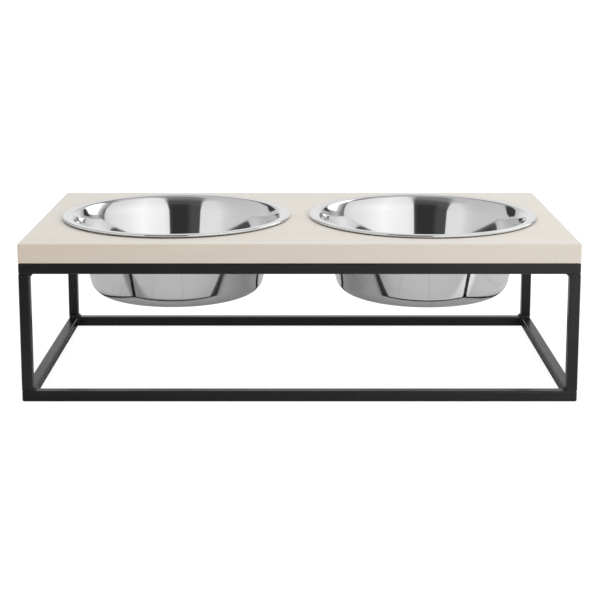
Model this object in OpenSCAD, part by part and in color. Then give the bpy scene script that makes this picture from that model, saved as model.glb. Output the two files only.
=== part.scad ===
// Elevated two-bowl pet feeder: a wooden board with two round cut-outs on an
// open welded cage of square steel tube, with two pressed steel bowls that
// drop in from above and hang by their rolled rims.
// Millimetres, +Z up. X runs along the front, -Y is the front, and the origin
// is on the floor below the middle of the board.

/* [Stand] */
// Outer width of the stand, along X
stand_w = 510; // [490:1:560]
// Outer depth of the stand, along Y
stand_d = 272; // [260:1:340]
// Height of the steel cage, from the floor to the underside of the board
frame_h = 130; // [110:1:200]
// Outside size of the square tube
tube = 10; // [9:0.5:13]
// Wall thickness of the tube
tube_wall = 1.2; // [1:0.1:2]
// Outer corner radius of the tube
tube_r = 1.4; // [0.8:0.1:2.4]
// Leg length of a fillet weld bead
weld_leg = 2.8; // [1.5:0.1:3.4]

/* [Board] */
// Thickness of the board
board_t = 18; // [15:0.5:24]
// Roundover on the board's long edges
board_edge_r = 1; // [0.5:0.1:2]
// Radius of the board's corners, seen from above
board_corner_r = 1.6; // [1:0.2:5]
// Gap all round between a cut-out and the bowl's neck
cutout_gap = 1.8; // [0.8:0.1:2.4]
// Small chamfer on both edges of a cut-out
cutout_chamfer = 0.8; // [0.3:0.1:1.2]

/* [Bowls] */
// Distance between the two bowls' centres
bowl_pitch = 245; // [234:1:262]
// Outer radius of a bowl's rolled rim
rim_r = 113; // [108:0.5:116]
// Width of the rim, from its outer edge to where the shoulder starts
rim_w = 6.4; // [5.4:0.1:7.4]
// Radius of the rolled bead on the rim
bead_r = 1.1; // [1:0.1:1.5]
// Clearance between the rolled bead and the board
bead_gap = 0.6; // [0.1:0.1:0.8]
// Sheet thickness of a bowl
sheet = 0.8; // [0.6:0.05:0.9]
// Depth of a bowl below the board's top face
bowl_depth = 75.4; // [60:0.2:90]
// Lean of the bowl's wall from the vertical, in degrees
wall_lean = 13.1; // [10:0.1:18]
// Radius of the tight shoulder at the inner edge of the rim
shoulder_r = 5; // [4:0.2:6.4]
// Lean of the sheet where the tight shoulder ends, in degrees
flare_lean = 33; // [26:1:40]
// Radius of the slow curve from the shoulder down into the wall
flare_r = 40; // [30:1:60]
// Radius between the wall and the bottom
base_r = 15.5; // [10:0.5:20]

/* [Fastening] */
// Leg length of a corner tab
tab_leg = 34; // [28:1:38]
// Thickness of a corner tab
tab_t = 2.5; // [2:0.1:3]
// Diameter of the wood screws
screw_d = 4; // [3:0.5:5]
// How far a screw goes into the board
screw_bite = 12; // [9:0.5:13]

/* [Hidden] */

$fn = 96;
eps = 0.01;

// heights
board_z0 = frame_h;
board_top = frame_h + board_t;
leg_h = frame_h - 2 * tube;

// the bowl's profile, in the plane of its axis: x is the radius, y is the
// height above the board's top face. These are the sheet's outer (under) side.
bead_cy = bead_gap + bead_r;
bead_cx = rim_r - bead_r;
flange_y = bead_cy + bead_r - 0.2;
shoulder_cx = rim_r - rim_w;
shoulder_cy = flange_y - shoulder_r;
shoulder_out = shoulder_r - sheet;
// centre of the slow curve that follows the shoulder
flare_out = flare_r - sheet;
flare_cx = shoulder_cx + (flare_r - shoulder_r) * cos(flare_lean);
flare_cy = shoulder_cy - (flare_r - shoulder_r) * sin(flare_lean);
// where that curve runs into the wall, on the sheet's outer side
wall_x0 = flare_cx - flare_out * cos(wall_lean);
wall_y0 = flare_cy + flare_out * sin(wall_lean);
// centre of the radius between the wall and the bottom
base_cy = -bowl_depth + base_r;
base_cx = wall_x0 - (wall_y0 - base_cy) * tan(wall_lean) - base_r / cos(wall_lean);
// where the wall ends on that radius
wall_x1 = base_cx + base_r * cos(wall_lean);
wall_y1 = base_cy - base_r * sin(wall_lean);
// the bowl's neck at the board's top face, and the cut-out that clears it
neck_r = shoulder_cy + shoulder_out * sin(flare_lean) <= 0
    ? shoulder_cx - sqrt(shoulder_out * shoulder_out - shoulder_cy * shoulder_cy)
    : flare_cx - sqrt(flare_out * flare_out - flare_cy * flare_cy);
cutout_r = neck_r + cutout_gap;

// inner corners of the rings, and where the screws go
in_x = stand_w / 2 - tube;
in_y = stand_d / 2 - tube;
screw_off = tab_leg * 0.34;
screw_x = in_x - screw_off;
screw_y = in_y - screw_off;

black = [0.16, 0.16, 0.17];
pale_wood = [0.87, 0.83, 0.77];
steel = [0.78, 0.79, 0.80];

// ---------------------------------------------------------------- outlines

// a rectangle with true round corners, centred
module round_rect(w, d, r) {
    union() {
        square([w - 2 * r, d], center = true);
        square([w, d - 2 * r], center = true);
        for (sx = [-1, 1], sy = [-1, 1])
            translate([sx * (w / 2 - r), sy * (d / 2 - r)]) circle(r);
    }
}

// the section of the square tube, hollow
module tube_section() {
    difference() {
        round_rect(tube, tube, tube_r);
        square(tube - 2 * tube_wall, center = true);
    }
}

// a length of tube standing on the floor
module tube_up(len) {
    linear_extrude(len) tube_section();
}

// ---------------------------------------------------------------- the rings

// a rail along X at the front of a ring, with both ends mitred
module rail_x(len) {
    intersection() {
        translate([-len / 2 - 1, -stand_d / 2 + tube / 2, tube / 2])
            rotate([90, 0, 90]) linear_extrude(len + 2) tube_section();
        translate([0, 0, -2]) linear_extrude(tube + 4) intersection() {
            round_rect(stand_w, stand_d, tube_r);
            polygon([[-len / 2 - 3, -stand_d / 2 - 3],
                     [len / 2 + 3, -stand_d / 2 - 3],
                     [len / 2 - tube - 3, -stand_d / 2 + tube + 3],
                     [-len / 2 + tube + 3, -stand_d / 2 + tube + 3]]);
        }
    }
}

// a rail along Y at the left of a ring, with both ends mitred
module rail_y(len) {
    intersection() {
        translate([-stand_w / 2 + tube / 2, len / 2 + 1, tube / 2])
            rotate([90, 0, 0]) linear_extrude(len + 2) tube_section();
        translate([0, 0, -2]) linear_extrude(tube + 4) intersection() {
            round_rect(stand_w, stand_d, tube_r);
            polygon([[-stand_w / 2 - 3, -len / 2 - 3],
                     [-stand_w / 2 - 3, len / 2 + 3],
                     [-stand_w / 2 + tube + 3, len / 2 - tube - 3],
                     [-stand_w / 2 + tube + 3, -len / 2 + tube + 3]]);
        }
    }
}

module front_rail(z) { color(black) translate([0, 0, z]) rail_x(stand_w); }
module rear_rail(z) { color(black) translate([0, 0, z]) mirror([0, 1, 0]) rail_x(stand_w); }
module left_rail(z) { color(black) translate([0, 0, z]) rail_y(stand_d); }
module right_rail(z) { color(black) translate([0, 0, z]) mirror([1, 0, 0]) rail_y(stand_d); }

module front_top_rail() { front_rail(frame_h - tube); }
module rear_top_rail() { rear_rail(frame_h - tube); }
module left_top_rail() { left_rail(frame_h - tube); }
module right_top_rail() { right_rail(frame_h - tube); }
module front_bottom_rail() { front_rail(0); }
module rear_bottom_rail() { rear_rail(0); }
module left_bottom_rail() { left_rail(0); }
module right_bottom_rail() { right_rail(0); }

// ---------------------------------------------------------------- the legs

// one leg, butted between the rings; sx and sy choose its corner
module leg(sx, sy) {
    color(black)
        translate([sx * (stand_w / 2 - tube / 2), sy * (stand_d / 2 - tube / 2), tube])
            tube_up(leg_h);
}

module front_left_leg() { leg(-1, -1); }
module front_right_leg() { leg(1, -1); }
module rear_left_leg() { leg(-1, 1); }
module rear_right_leg() { leg(1, 1); }

// ---------------------------------------------------------------- weld beads

// the section of a fillet weld: a hollow-faced triangle in a square corner
module bead_section(leg) {
    difference() {
        polygon([[0, 0], [leg, 0], [0, leg]]);
        translate([leg * 1.5, leg * 1.5]) circle(leg * 1.56);
    }
}

// a fillet weld of a given length along +Y, centred, its corner at the origin,
// and its legs along +X and +Z
module fillet_bead(leg, len) {
    rotate([90, 0, 0]) translate([0, 0, -len / 2]) linear_extrude(len) bead_section(leg);
}

// the two welds in the inner corners where one leg stands on a ring.
// up = 1 is on the lower ring, and up = -1 is under the upper ring
module leg_welds(sx, sy, z, up) {
    len = tube - 2 * tube_r - 0.4;
    cx = sx * (stand_w / 2 - tube);
    cy = sy * (stand_d / 2 - tube);
    mx = sx * (stand_w / 2 - tube / 2);
    my = sy * (stand_d / 2 - tube / 2);
    translate([cx, my, z]) mirror([sx > 0 ? 1 : 0, 0, 0]) mirror([0, 0, up < 0 ? 1 : 0])
        fillet_bead(weld_leg, len);
    translate([mx, cy, z]) rotate([0, 0, sy > 0 ? -90 : 90]) mirror([0, 0, up < 0 ? 1 : 0])
        fillet_bead(weld_leg, len);
}

module upper_weld_beads() {
    color(black) for (sx = [-1, 1], sy = [-1, 1]) leg_welds(sx, sy, frame_h - tube, -1);
}

module lower_weld_beads() {
    color(black) for (sx = [-1, 1], sy = [-1, 1]) leg_welds(sx, sy, tube, 1);
}

// ---------------------------------------------------------------- corner tabs

// a corner tab: a flat plate across the inside of the ring's corner, flush
// with the top of the ring, with one clearance hole for a wood screw
module tab(sx, sy) {
    color(black)
        translate([sx * in_x, sy * in_y, frame_h - tab_t])
            mirror([sx > 0 ? 1 : 0, 0, 0]) mirror([0, sy > 0 ? 1 : 0, 0])
                difference() {
                    linear_extrude(tab_t)
                        polygon([[0, 0], [tab_leg, 0], [tab_leg, 4], [4, tab_leg], [0, tab_leg]]);
                    translate([screw_off, screw_off, -1])
                        cylinder(h = tab_t + 2, r = screw_d / 2 + 0.3, $fn = 48);
                }
}

module front_left_tab() { tab(-1, -1); }
module front_right_tab() { tab(1, -1); }
module rear_left_tab() { tab(-1, 1); }
module rear_right_tab() { tab(1, 1); }

// the welds under each tab, along both of its edges
module tab_welds(sx, sy) {
    len = tab_leg * 0.42;
    z = frame_h - tab_t;
    translate([sx * in_x, sy * (in_y - tab_leg / 2 - 2), z])
        mirror([sx > 0 ? 1 : 0, 0, 0]) mirror([0, 0, 1]) fillet_bead(weld_leg, len);
    translate([sx * (in_x - tab_leg / 2 - 2), sy * in_y, z])
        rotate([0, 0, sy > 0 ? -90 : 90]) mirror([0, 0, 1]) fillet_bead(weld_leg, len);
}

module tab_weld_beads() {
    color(black) for (sx = [-1, 1], sy = [-1, 1]) tab_welds(sx, sy);
}

// ---------------------------------------------------------------- screws

// a pan-head wood screw pointing up, its head against z = 0 from below
module wood_screw() {
    head_r = screw_d * 0.98;
    head_h = screw_d * 0.58;
    len = tab_t + screw_bite;
    difference() {
        union() {
            rotate_extrude($fn = 48)
                polygon([[0, -head_h], [head_r * 0.62, -head_h], [head_r * 0.86, -head_h * 0.82],
                         [head_r * 0.97, -head_h * 0.5], [head_r, -head_h * 0.2], [head_r, 0],
                         [screw_d / 2, 0], [screw_d / 2, len - screw_d * 0.9],
                         [0.3, len], [0, len]]);
        }
        for (a = [0, 90]) rotate([0, 0, a])
            translate([-head_r * 0.55, -0.4, -head_h - 1]) cube([head_r * 1.1, 0.8, head_h * 0.55 + 1]);
    }
}

module board_screws() {
    color(steel)
        for (sx = [-1, 1], sy = [-1, 1])
            translate([sx * screw_x, sy * screw_y, frame_h - tab_t]) wood_screw();
}

// ---------------------------------------------------------------- the board

module board_blank() {
    intersection() {
        translate([0, 0, board_z0 + board_t / 2]) rotate([90, 0, 0])
            translate([0, 0, -stand_d / 2 - 2]) linear_extrude(stand_d + 4)
                round_rect(stand_w, board_t, board_edge_r);
        translate([0, 0, board_z0 + board_t / 2]) rotate([90, 0, 90])
            translate([0, 0, -stand_w / 2 - 2]) linear_extrude(stand_w + 4)
                round_rect(stand_d, board_t, board_edge_r);
        translate([0, 0, board_z0 - 2]) linear_extrude(board_t + 4)
            round_rect(stand_w, stand_d, board_corner_r);
    }
}

// what is cut out of the board for one bowl, with a small chamfer on each edge
module cutout() {
    translate([0, 0, board_z0 - 1]) cylinder(h = board_t + 2, r = cutout_r, $fn = 180);
    translate([0, 0, board_top - cutout_chamfer])
        cylinder(h = cutout_chamfer + eps, r1 = cutout_r, r2 = cutout_r + cutout_chamfer + eps, $fn = 180);
    translate([0, 0, board_z0 - eps])
        cylinder(h = cutout_chamfer + eps, r1 = cutout_r + cutout_chamfer + eps, r2 = cutout_r, $fn = 180);
}

module top_board() {
    color(pale_wood) difference() {
        board_blank();
        for (sx = [-1, 1]) translate([sx * bowl_pitch / 2, 0, 0]) cutout();
        // pilot holes that the wood screws fill
        for (sx = [-1, 1], sy = [-1, 1])
            translate([sx * screw_x, sy * screw_y, board_z0 - 1])
                cylinder(h = screw_bite + 1, r = screw_d / 2, $fn = 48);
    }
}

// ---------------------------------------------------------------- the bowls

// points along an arc, from direction a0 to a1 in n steps
function arc(cx, cy, r, a0, a1, n) =
    [for (i = [0:n]) let (a = a0 + (a1 - a0) * i / n) [cx + r * cos(a), cy + r * sin(a)]];

// the sheet's section from the middle of the bottom out to the rolled rim:
// along the inside, round the bead, and back along the underside
module bowl_section() {
    // where the flange's two faces run into the bead
    a_top = 180 - asin((flange_y - bead_cy) / bead_r);
    a_under = 180 - asin((flange_y - sheet - bead_cy) / bead_r);
    polygon(concat(
        [[0, -bowl_depth + sheet]],
        arc(base_cx, base_cy, base_r - sheet, -90, -wall_lean, 20),
        arc(flare_cx, flare_cy, flare_r, 180 - wall_lean, 180 - flare_lean, 12),
        arc(shoulder_cx, shoulder_cy, shoulder_r, 180 - flare_lean - 3, 90, 18),
        arc(bead_cx, bead_cy, bead_r, a_top, a_under - 360, 40),
        arc(shoulder_cx, shoulder_cy, shoulder_out, 90, 180 - flare_lean - 3, 18),
        arc(flare_cx, flare_cy, flare_out, 180 - flare_lean, 180 - wall_lean, 12),
        arc(base_cx, base_cy, base_r, -wall_lean, -90, 20),
        [[0, -bowl_depth]]));
}

module bowl() {
    color(steel) translate([0, 0, board_top]) rotate_extrude($fn = 180) bowl_section();
}

module left_bowl() { translate([-bowl_pitch / 2, 0, 0]) bowl(); }
module right_bowl() { translate([bowl_pitch / 2, 0, 0]) bowl(); }

// ---------------------------------------------------------------- assembly

top_board();
front_top_rail();
rear_top_rail();
left_top_rail();
right_top_rail();
front_bottom_rail();
rear_bottom_rail();
left_bottom_rail();
right_bottom_rail();
front_left_leg();
front_right_leg();
rear_left_leg();
rear_right_leg();
front_left_tab();
front_right_tab();
rear_left_tab();
rear_right_tab();
upper_weld_beads();
lower_weld_beads();
tab_weld_beads();
board_screws();
left_bowl();
right_bowl();
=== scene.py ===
import math

import bmesh
import bpy
from mathutils import Matrix, Vector, noise

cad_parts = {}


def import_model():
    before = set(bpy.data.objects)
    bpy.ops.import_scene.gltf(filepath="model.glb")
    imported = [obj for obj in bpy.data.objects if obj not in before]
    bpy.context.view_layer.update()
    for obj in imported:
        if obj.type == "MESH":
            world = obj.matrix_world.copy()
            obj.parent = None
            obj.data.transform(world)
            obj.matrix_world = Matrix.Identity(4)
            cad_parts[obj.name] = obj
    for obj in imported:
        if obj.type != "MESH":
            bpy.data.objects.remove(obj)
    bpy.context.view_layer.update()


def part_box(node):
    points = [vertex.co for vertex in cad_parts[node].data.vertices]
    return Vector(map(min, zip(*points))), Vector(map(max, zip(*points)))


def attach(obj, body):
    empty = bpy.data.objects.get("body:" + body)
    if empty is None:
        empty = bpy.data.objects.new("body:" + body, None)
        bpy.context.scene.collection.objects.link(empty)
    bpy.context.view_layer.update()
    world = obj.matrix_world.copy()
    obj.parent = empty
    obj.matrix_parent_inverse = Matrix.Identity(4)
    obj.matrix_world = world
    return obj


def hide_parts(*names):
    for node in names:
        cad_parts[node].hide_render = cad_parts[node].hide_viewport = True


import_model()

MM = 0.001

# ---------------------------------------------------------------- sizes
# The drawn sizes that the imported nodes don't give by themselves, in millimetres.
TUBE_R = 1.4          # outer corner radius of the square tube
RING_R = 2.0          # corner radius of a ring seen from above, after grinding
EDGE_R = 1.0          # roundover on the board's edges
CORNER_R = 1.6        # the board's corners seen from above
CHAMFER = 0.8         # eased edge of a cut-out
SHEET = 0.8
RIM_W = 6.4           # from the rim's outer edge to where the shoulder starts
BEAD_R = 1.1
BEAD_GAP = 0.6
WALL_LEAN = 13.1
SHOULDER_R = 5.0
FLARE_LEAN = 33.0     # the sheet's lean where the tight shoulder ends and the slow curve starts
FLARE_R = 40.0
BASE_R = 15.5
NECK_GAP = 1.8
TAB_T = 2.5
TAB_LEG = 34.0
SCREW_R = 2.0
WELD = 2.8

board_lo, board_hi = (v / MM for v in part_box("top_board"))
bowl_lo, bowl_hi = (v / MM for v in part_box("right_bowl"))
rail_lo, rail_hi = (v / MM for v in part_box("front_bottom_rail"))
side_lo, side_hi = (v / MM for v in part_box("left_bottom_rail"))
W = board_hi.x - board_lo.x
D = board_hi.y - board_lo.y
TUBE = rail_hi.z - rail_lo.z
FRAME_H = board_lo.z
TOP = board_hi.z
PITCH = bowl_lo.x + bowl_hi.x
RIM_R = (bowl_hi.x - bowl_lo.x) / 2
BOWL_DEPTH = TOP - bowl_lo.z
IN_X, IN_Y = W / 2 - TUBE, D / 2 - TUBE
SCREW_OFF = TAB_LEG * 0.34


# ---------------------------------------------------------------- node helpers

def put(tree, kind, links=None, **attrs):
    """One shader node. links gives each input, by name or number, as a value or a socket."""
    n = tree.nodes.new("ShaderNode" + kind)
    for k, v in attrs.items():
        setattr(n, k, v)
    for k, v in (links or {}).items():
        s = n.inputs[k]
        if isinstance(v, bpy.types.NodeSocket):
            tree.links.new(v, s)
        else:
            s.default_value = v
    return n


def calc(tree, op, a, b=0.0, c=0.0, clamp=False):
    return put(tree, "Math", {0: a, 1: b, 2: c}, operation=op, use_clamp=clamp).outputs[0]


def ramp(tree, value, lo, hi, out_lo=0.0, out_hi=1.0, smooth=True):
    return put(tree, "MapRange", {"Value": value, "From Min": lo, "From Max": hi, "To Min": out_lo,
                                  "To Max": out_hi},
               interpolation_type="SMOOTHSTEP" if smooth else "LINEAR").outputs[0]


def blend(tree, fac, a, b, mode="MIX"):
    n = put(tree, "Mix", {}, data_type="RGBA", blend_type=mode)
    for socket, v in ((n.inputs[0], fac), (n.inputs[6], a), (n.inputs[7], b)):
        if isinstance(v, bpy.types.NodeSocket):
            tree.links.new(v, socket)
        else:
            socket.default_value = v
    return n.outputs[2]


def scaled(tree, vector, scale, offset=(0, 0, 0)):
    return put(tree, "Mapping", {"Vector": vector, "Scale": scale, "Location": offset}).outputs[0]


def grain_noise(tree, vector, scale, detail=2.0, rough=0.5, distortion=0.0):
    return put(tree, "TexNoise", {"Vector": vector, "Scale": scale, "Detail": detail, "Roughness": rough,
                                  "Distortion": distortion}).outputs[0]


def new_material(name):
    m = bpy.data.materials.new(name)
    m.use_nodes = True
    tree = m.node_tree
    tree.nodes.clear()
    out = tree.nodes.new("ShaderNodeOutputMaterial")
    shader = tree.nodes.new("ShaderNodeBsdfPrincipled")
    tree.links.new(shader.outputs[0], out.inputs[0])
    return m, tree, shader


def rgb(r, g, b):
    return (r, g, b, 1.0)


# ---------------------------------------------------------------- materials

def wood_material():
    m, t, s = new_material("whitewashed_wood")
    pos = put(t, "TexCoord").outputs["Object"]
    xyz = put(t, "SeparateXYZ", {0: pos}).outputs
    side = put(t, "Attribute", attribute_name="side").outputs["Fac"]
    edge = put(t, "Attribute", attribute_name="edge").outputs["Fac"]
    # the rings of the tree, wandering slowly along the board
    wander_y = calc(t, "MULTIPLY", calc(t, "SUBTRACT", grain_noise(t, scaled(t, pos, (2.4, 9, 9)), 1.0, 2), 0.5), 0.030)
    wander_z = calc(t, "MULTIPLY", calc(t, "SUBTRACT", grain_noise(t, scaled(t, pos, (1.7, 5, 5), (7, 3, 1)), 1.0, 1), 0.5), 0.050)
    y = calc(t, "SUBTRACT", calc(t, "ADD", xyz[1], wander_y), 0.028)
    z = calc(t, "SUBTRACT", calc(t, "ADD", xyz[2], wander_z), 0.062)
    r = calc(t, "SQRT", calc(t, "ADD", calc(t, "MULTIPLY", y, y), calc(t, "MULTIPLY", z, z)))
    jitter = calc(t, "MULTIPLY", grain_noise(t, scaled(t, pos, (9, 260, 260)), 1.0, 3, 0.6), 0.5)
    saw = calc(t, "FRACT", calc(t, "ADD", calc(t, "MULTIPLY", r, 235.0), jitter))
    late = calc(t, "MULTIPLY", ramp(t, saw, 0.25, 0.86), ramp(t, saw, 1.0, 0.92))
    # fibres and the open pores that hold less of the wash
    fibre = grain_noise(t, scaled(t, pos, (42, 1500, 1500)), 1.0, 4, 0.62)
    streak = grain_noise(t, scaled(t, pos, (5.5, 190, 190), (2, 0, 5)), 1.0, 3, 0.55)
    pore = ramp(t, grain_noise(t, scaled(t, pos, (120, 2300, 2300), (0, 4, 2)), 1.0, 1, 0.4), 0.63, 0.72)
    patch = grain_noise(t, scaled(t, pos, (5, 14, 14)), 1.0, 3, 0.5)
    # end grain on the two short faces
    nrm = put(t, "SeparateXYZ", {0: put(t, "NewGeometry").outputs["Normal"]}).outputs
    end = ramp(t, calc(t, "ABSOLUTE", nrm[0]), 0.7, 0.95)
    endpore = ramp(t, grain_noise(t, scaled(t, pos, (900, 1900, 1900)), 1.0, 2, 0.5), 0.55, 0.68)

    # the side faces are darker and warmer than the top: partly the wood's own tone, partly painted shade; they are
    # painted darker still towards the left end, painted shade for light falling from the right
    pale = blend(t, ramp(t, patch, 0.3, 0.7), rgb(0.664, 0.638, 0.591), rgb(0.645, 0.614, 0.560))
    side_tone_shaded_left = blend(t, ramp(t, patch, 0.3, 0.7), rgb(0.525, 0.455, 0.376), rgb(0.510, 0.444, 0.368))
    side_tone_lit_right = blend(t, ramp(t, patch, 0.3, 0.7), rgb(0.592, 0.543, 0.477), rgb(0.575, 0.531, 0.468))
    side_tone_and_shade = blend(t, ramp(t, xyz[0], -0.26, 0.20, smooth=False), side_tone_shaded_left, side_tone_lit_right)
    base = blend(t, side, pale, side_tone_and_shade)
    base = blend(t, calc(t, "MULTIPLY", late, 0.22), base, rgb(0.585, 0.528, 0.448))
    base = blend(t, calc(t, "MULTIPLY", ramp(t, streak, 0.42, 0.72), 0.20), base, rgb(0.600, 0.555, 0.492))
    base = blend(t, calc(t, "MULTIPLY", ramp(t, fibre, 0.45, 0.75), 0.16), base, rgb(0.52, 0.465, 0.39))
    base = blend(t, calc(t, "MULTIPLY", pore, 0.22), base, rgb(0.44, 0.37, 0.29))
    base = blend(t, calc(t, "MULTIPLY", end, calc(t, "MULTIPLY", endpore, 0.30)), base, rgb(0.45, 0.38, 0.30))
    # darker along the eased edges: partly wash worn thin, partly painted shade on the roundovers
    edge_wear_and_painted_light = calc(t, "MULTIPLY", edge, ramp(t, grain_noise(t, scaled(t, pos, (30, 120, 120)), 1.0, 4, 0.6), 0.32, 0.66, 0.25, 0.75))
    base = blend(t, edge_wear_and_painted_light, base, rgb(0.560, 0.470, 0.380))
    t.links.new(base, s.inputs["Base Color"])
    rough = ramp(t, calc(t, "ADD", calc(t, "MULTIPLY", fibre, 0.6), calc(t, "MULTIPLY", streak, 0.4)), 0.3, 0.7, 0.50, 0.66, False)
    t.links.new(calc(t, "SUBTRACT", rough, calc(t, "MULTIPLY", edge, 0.06)), s.inputs["Roughness"])
    s.inputs["Specular IOR Level"].default_value = 0.38
    height = calc(t, "SUBTRACT", calc(t, "ADD", calc(t, "MULTIPLY", fibre, 0.6), calc(t, "MULTIPLY", late, 0.25)),
                  calc(t, "MULTIPLY", pore, 0.5))
    bump = put(t, "Bump", {"Strength": 0.30, "Distance": 0.00012, "Height": height})
    t.links.new(bump.outputs[0], s.inputs["Normal"])
    return m


def powder_material():
    m, t, s = new_material("black_powder_coat")
    pos = put(t, "TexCoord").outputs["Object"]
    edge = put(t, "Attribute", attribute_name="edge").outputs["Fac"]
    peel = grain_noise(t, pos, 780.0, 2, 0.45)
    grit = grain_noise(t, pos, 3600.0, 2, 0.6)
    cloud = grain_noise(t, pos, 22.0, 3, 0.55)
    spot = ramp(t, grain_noise(t, pos, 240.0, 3, 0.6), 0.46, 0.68)
    base = blend(t, ramp(t, cloud, 0.35, 0.65), rgb(0.0060, 0.0061, 0.0064), rgb(0.0072, 0.0073, 0.0076))
    base = blend(t, calc(t, "MULTIPLY", ramp(t, grit, 0.5, 0.75), 0.20), base, rgb(0.0100, 0.0100, 0.0104))
    # lighter along the rounded edges and weld crests: partly coat rubbed thin, partly a painted highlight
    edge_wear_and_painted_light = calc(t, "MULTIPLY", edge, calc(t, "ADD", calc(t, "MULTIPLY", spot, 0.45), 0.18))
    base = blend(t, edge_wear_and_painted_light, base, rgb(0.034, 0.034, 0.035))
    t.links.new(base, s.inputs["Base Color"])
    rough = calc(t, "ADD", ramp(t, cloud, 0.3, 0.7, 0.25, 0.29, False), calc(t, "MULTIPLY", grit, 0.04))
    t.links.new(calc(t, "SUBTRACT", rough, calc(t, "MULTIPLY", edge_wear_and_painted_light, 0.12)), s.inputs["Roughness"])
    s.inputs["Specular IOR Level"].default_value = 0.38
    height = calc(t, "ADD", peel, calc(t, "MULTIPLY", grit, 0.22))
    bump = put(t, "Bump", {"Strength": 0.14, "Distance": 0.00005, "Height": height})
    t.links.new(bump.outputs[0], s.inputs["Normal"])
    return m


def steel_material():
    m, t, s = new_material("polished_stainless")
    pos = put(t, "TexCoord").outputs["Object"]
    xyz = put(t, "SeparateXYZ", {0: pos}).outputs
    rad = calc(t, "SQRT", calc(t, "ADD", calc(t, "MULTIPLY", xyz[0], xyz[0]), calc(t, "MULTIPLY", xyz[1], xyz[1])))
    turn = calc(t, "ARCTAN2", xyz[1], xyz[0])
    # the lines that polishing on a lathe leaves, each a long arc round the axis
    lathe = put(t, "CombineXYZ", {0: calc(t, "MULTIPLY", rad, 2600.0), 1: calc(t, "MULTIPLY", xyz[2], 2600.0),
                                  2: calc(t, "MULTIPLY", turn, 1.6)}).outputs[0]
    lines = grain_noise(t, lathe, 1.0, 3, 0.6)
    broad = put(t, "CombineXYZ", {0: calc(t, "MULTIPLY", rad, 190.0), 1: calc(t, "MULTIPLY", xyz[2], 190.0),
                                  2: calc(t, "MULTIPLY", turn, 0.9)}).outputs[0]
    bands = grain_noise(t, broad, 1.0, 2, 0.5)
    cloud = grain_noise(t, pos, 26.0, 3, 0.5)
    haze = grain_noise(t, pos, 9.0, 2, 0.5)
    base = blend(t, ramp(t, bands, 0.35, 0.65), rgb(0.796, 0.796, 0.802), rgb(0.784, 0.785, 0.791))
    base = blend(t, calc(t, "MULTIPLY", ramp(t, lines, 0.5, 0.8), 0.08), base, rgb(0.70, 0.70, 0.706))
    t.links.new(base, s.inputs["Base Color"])
    s.inputs["Metallic"].default_value = 1.0
    rough = calc(t, "ADD", ramp(t, haze, 0.3, 0.7, 0.042, 0.056, False), calc(t, "MULTIPLY", lines, 0.012))
    t.links.new(rough, s.inputs["Roughness"])
    s.inputs["Anisotropic"].default_value = 0.2
    s.inputs["Anisotropic Rotation"].default_value = 0.25
    tangent = put(t, "Tangent", direction_type="RADIAL", axis="Z")
    t.links.new(tangent.outputs[0], s.inputs["Tangent"])
    soft = put(t, "Bump", {"Strength": 0.4, "Distance": 0.00003, "Height": calc(t, "ADD", cloud, calc(t, "MULTIPLY", bands, 0.03))})
    fine = put(t, "Bump", {"Strength": 0.05, "Distance": 0.000008, "Height": lines, "Normal": soft.outputs[0]})
    t.links.new(fine.outputs[0], s.inputs["Normal"])
    return m


def screw_material():
    m, t, s = new_material("plated_screw")
    pos = put(t, "TexCoord").outputs["Object"]
    cloud = grain_noise(t, pos, 700.0, 3, 0.6)
    fine = grain_noise(t, pos, 5200.0, 2, 0.6)
    base = blend(t, ramp(t, cloud, 0.35, 0.65), rgb(0.60, 0.60, 0.62), rgb(0.50, 0.50, 0.49))
    t.links.new(base, s.inputs["Base Color"])
    s.inputs["Metallic"].default_value = 1.0
    t.links.new(ramp(t, cloud, 0.3, 0.7, 0.26, 0.40, False), s.inputs["Roughness"])
    bump = put(t, "Bump", {"Strength": 0.2, "Distance": 0.00003, "Height": fine})
    t.links.new(bump.outputs[0], s.inputs["Normal"])
    return m


WOOD = wood_material()
COAT = powder_material()
STEEL = steel_material()
ZINC = screw_material()


# ---------------------------------------------------------------- mesh helpers

def show(name, me, material, body, nodes=(), at=(0, 0, 0), lean=(0, 0), sharp=None):
    """Makes the object, in metres, puts it on its body and hides the nodes that it stands for."""
    ob = bpy.data.objects.new(name, me)
    bpy.context.scene.collection.objects.link(ob)
    ob.location = at
    ob.rotation_euler = (math.radians(lean[0]), math.radians(lean[1]), 0)
    me.materials.append(material)
    me.polygons.foreach_set("use_smooth", [True] * len(me.polygons))
    if sharp is not None:
        me.set_sharp_from_angle(angle=math.radians(sharp))
    if nodes:
        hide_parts(*nodes)
    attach(ob, body)
    return ob


def to_mesh(name, bm, merge=1e-7):
    """Finishes a bmesh drawn in metres: merges doubles, turns the faces outward, and returns the mesh."""
    if merge:
        bmesh.ops.remove_doubles(bm, verts=bm.verts[:], dist=merge)
    bmesh.ops.dissolve_degenerate(bm, dist=1e-8, edges=bm.edges[:])
    bmesh.ops.recalc_face_normals(bm, faces=bm.faces[:])
    me = bpy.data.meshes.new(name)
    bm.to_mesh(me)
    bm.free()
    return me


def strip(bm, a, b, closed=True):
    """Quads between two loops of vertices."""
    n = len(a)
    made = []
    for i in range(n if closed else n - 1):
        j = (i + 1) % n
        made.append(bm.faces.new((a[i], a[j], b[j], b[i])))
    return made


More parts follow.
